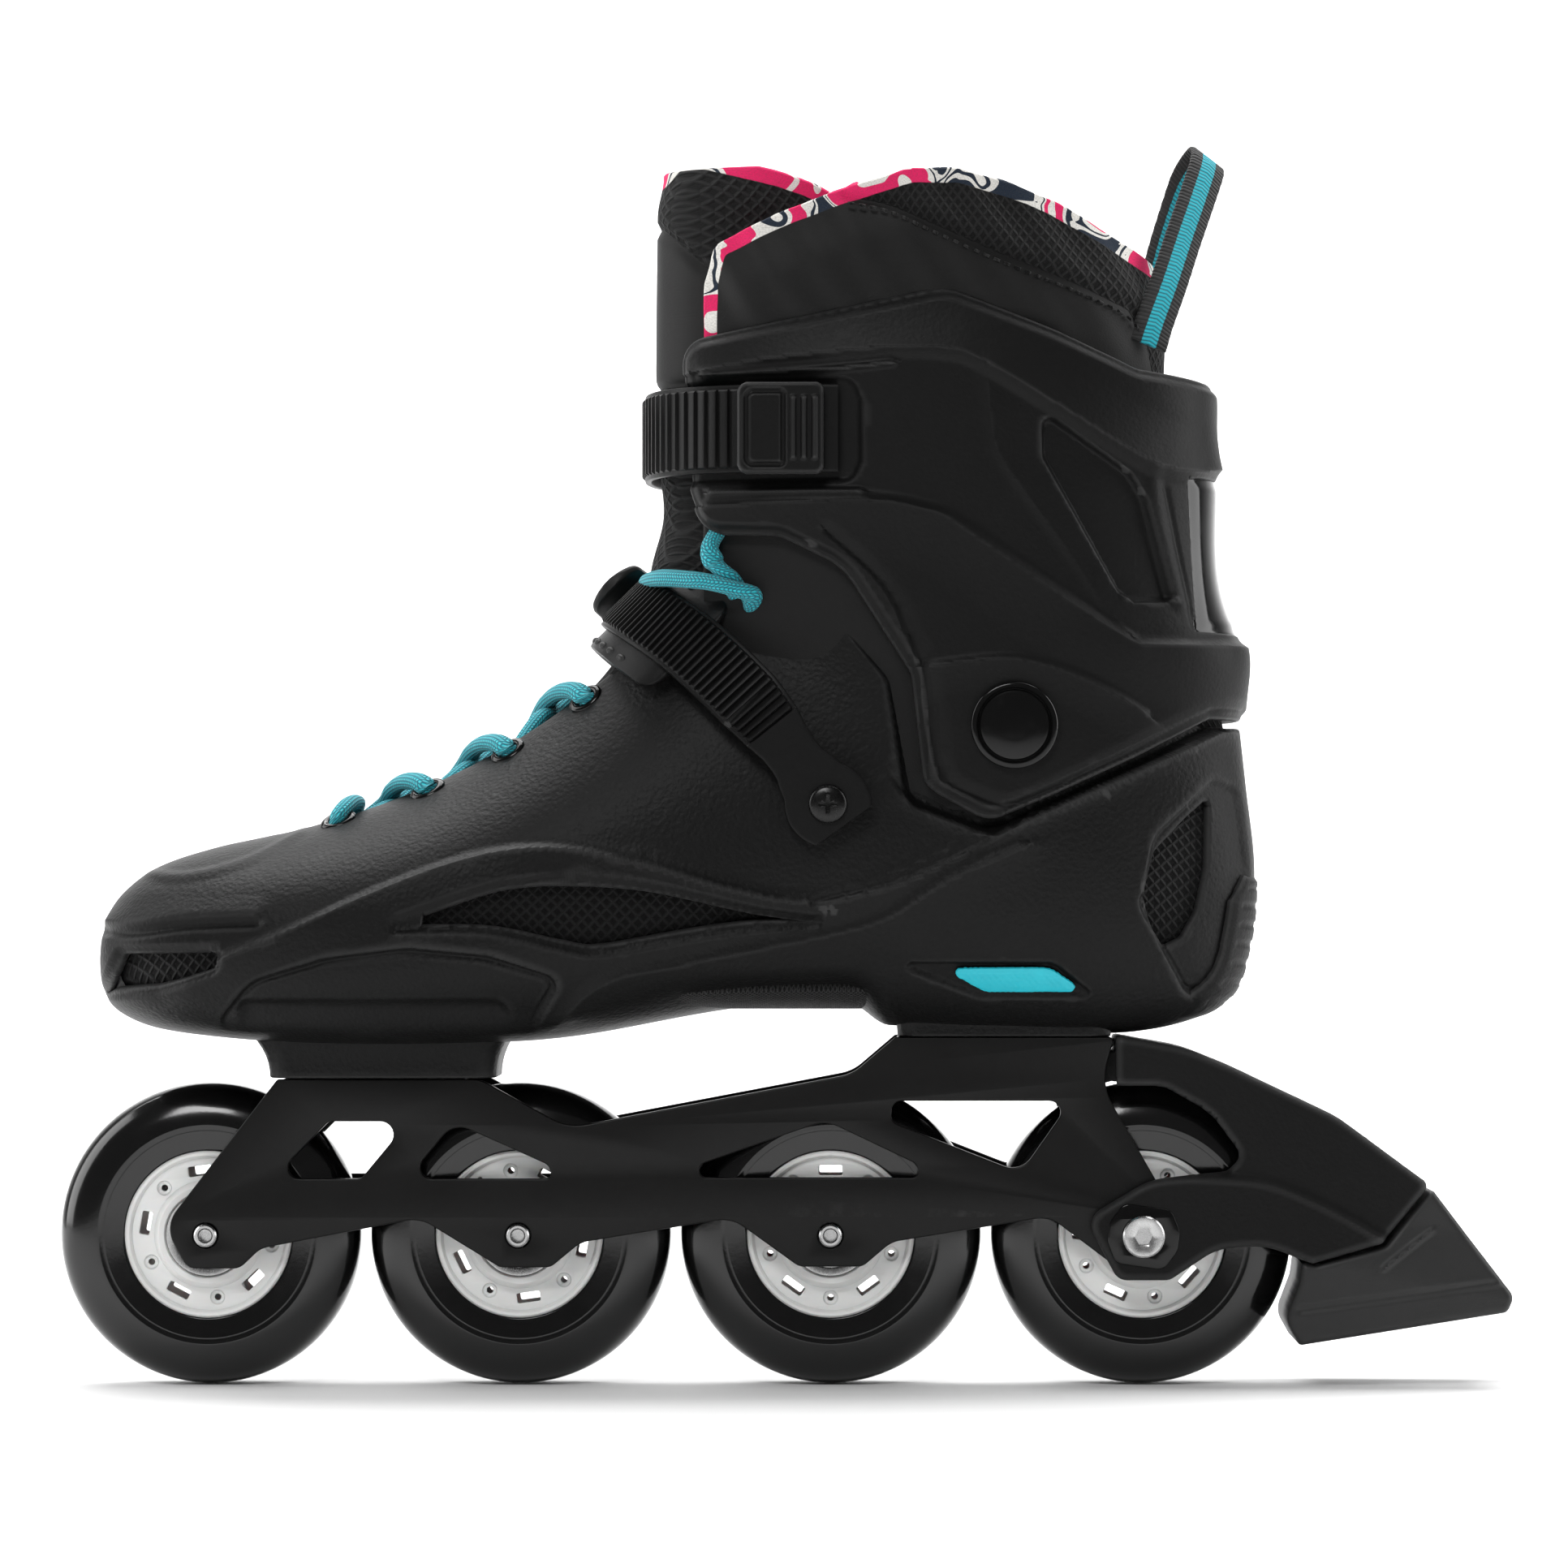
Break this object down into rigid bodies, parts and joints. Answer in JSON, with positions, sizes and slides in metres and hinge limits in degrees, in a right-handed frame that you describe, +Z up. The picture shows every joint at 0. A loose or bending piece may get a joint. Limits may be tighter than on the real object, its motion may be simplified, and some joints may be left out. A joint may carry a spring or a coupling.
{
  "type": "inline skate",
  "caption": "Inline skate with a hinged cuff over a moulded boot, padded liner, ratchet straps, laces, a metal wheel frame and a heel brake.",
  "frame": {"origin": "on the ground, under the middle of the skate's overall length and width", "axes": "+Z up, +X towards the heel brake, -X towards the toe, -Y the inner side of the foot"},
  "size_m": [0.3844, 0.106, 0.3294],
  "materials": {
    "shell_plastic": "satin moulded black plastic with a fine leather grain",
    "cuff_plastic": "satin moulded black plastic with a fine grain",
    "gloss_plastic": "high-gloss black plastic",
    "strap_plastic": "satin black flexible plastic",
    "buckle_plastic": "satin black glass-filled plastic",
    "accent_plastic": "cyan reflective plastic",
    "liner_fabric": "black spacer mesh and synthetic leather over foam",
    "footbed_fabric": "dark grey brushed fabric over foam",
    "lace": "cyan braided lace",
    "webbing": "black ribbed webbing with a cyan stripe",
    "frame_metal": "satin black painted aluminium",
    "steel": "zinc-plated steel",
    "black_steel": "black oxide steel",
    "hub_plastic": "off-white moulded plastic",
    "tyre": "glossy black polyurethane",
    "brake_plastic": "textured black plastic",
    "brake_rubber": "black brake rubber"
  },
  "bodies": {
    "skate": {"shell": "shell_plastic", "heel_guard": "shell_plastic", "reflector_medial": "accent_plastic", "reflector_lateral": "accent_plastic", "liner_lower": "liner_fabric", "tongue_lower": "liner_fabric", "footbed": "footbed_fabric", "lace": "lace", "instep_saddle": "strap_plastic", "instep_ladder": "strap_plastic", "instep_ladder_screw": "black_steel", "instep_buckle_strap": "strap_plastic", "instep_buckle_screw": "black_steel", "instep_buckle_base": "buckle_plastic", "instep_buckle_pin": "steel", "frame": "frame_metal", "front_mount_bolt": "black_steel", "rear_mount_bolt": "black_steel", "axle_1": "steel", "axle_2": "steel", "axle_3": "steel", "brake_axle": "steel", "brake_arm": "brake_plastic", "brake_lock_plate_medial": "buckle_plastic", "brake_lock_plate_lateral": "buckle_plastic", "brake_pad": "brake_rubber", "brake_pad_screw": "steel", "bearing_spacer_1": "steel", "bearing_spacer_2": "steel", "bearing_spacer_3": "steel", "bearing_spacer_4": "steel"},
    "cuff": {"cuff": "cuff_plastic", "cuff_rear_insert": "gloss_plastic", "cuff_pivot_cap_medial": "gloss_plastic", "cuff_pivot_cap_lateral": "gloss_plastic", "liner_upper": "liner_fabric", "tongue_upper": "liner_fabric", "pull_loop": "webbing", "cuff_ladder": "strap_plastic", "cuff_buckle_base": "buckle_plastic", "cuff_buckle_pin": "steel"},
    "cuff_buckle": {"cuff_buckle_lever": "buckle_plastic"},
    "instep_buckle": {"instep_buckle_lever": "buckle_plastic"},
    "release_tab": {"ladder_release_tab": "buckle_plastic"},
    "wheel_1": {"tyre_1": "tyre", "hub_1": "hub_plastic", "bearing_medial_1": "steel", "bearing_lateral_1": "steel"},
    "wheel_2": {"tyre_2": "tyre", "hub_2": "hub_plastic", "bearing_medial_2": "steel", "bearing_lateral_2": "steel"},
    "wheel_3": {"tyre_3": "tyre", "hub_3": "hub_plastic", "bearing_medial_3": "steel", "bearing_lateral_3": "steel"},
    "wheel_4": {"tyre_4": "tyre", "hub_4": "hub_plastic", "bearing_medial_4": "steel", "bearing_lateral_4": "steel"}
  },
  "joints": [
    {"name": "cuff_flex", "type": "hinge", "parent": "skate", "child": "cuff", "pos_m": [0.06047, 0, 0.1738], "axis": [0, -1, 0], "range_deg": [-2, 8], "stiffness_Nm_per_rad": 6},
    {"name": "cuff_buckle_lever_lift", "type": "hinge", "parent": "cuff", "child": "cuff_buckle", "pos_m": [0.00021, 0.04991, 0.2506], "axis": [0, 0, 1], "range_deg": [0, 100]},
    {"name": "instep_buckle_lever_lift", "type": "hinge", "parent": "skate", "child": "instep_buckle", "pos_m": [-0.01391, 0.04803, 0.18633], "axis": [-0.7234, 0.0865, -0.6849], "range_deg": [0, 90]},
    {"name": "ladder_release_press", "type": "hinge", "parent": "cuff", "child": "release_tab", "pos_m": [-0.0113, -0.048, 0.2505], "axis": [0, 0, 1], "range_deg": [0, 2], "stiffness_Nm_per_rad": 0.3},
    {"name": "wheel_1_spin", "type": "hinge", "parent": "skate", "child": "wheel_1", "pos_m": [-0.15223, 0, 0.04], "axis": [0, 1, 0], "continuous": true},
    {"name": "wheel_2_spin", "type": "hinge", "parent": "skate", "child": "wheel_2", "pos_m": [-0.06983, 0, 0.04], "axis": [0, 1, 0], "continuous": true},
    {"name": "wheel_3_spin", "type": "hinge", "parent": "skate", "child": "wheel_3", "pos_m": [0.01257, 0, 0.04], "axis": [0, 1, 0], "continuous": true},
    {"name": "wheel_4_spin", "type": "hinge", "parent": "skate", "child": "wheel_4", "pos_m": [0.09497, 0, 0.04], "axis": [0, 1, 0], "continuous": true}
  ]
}
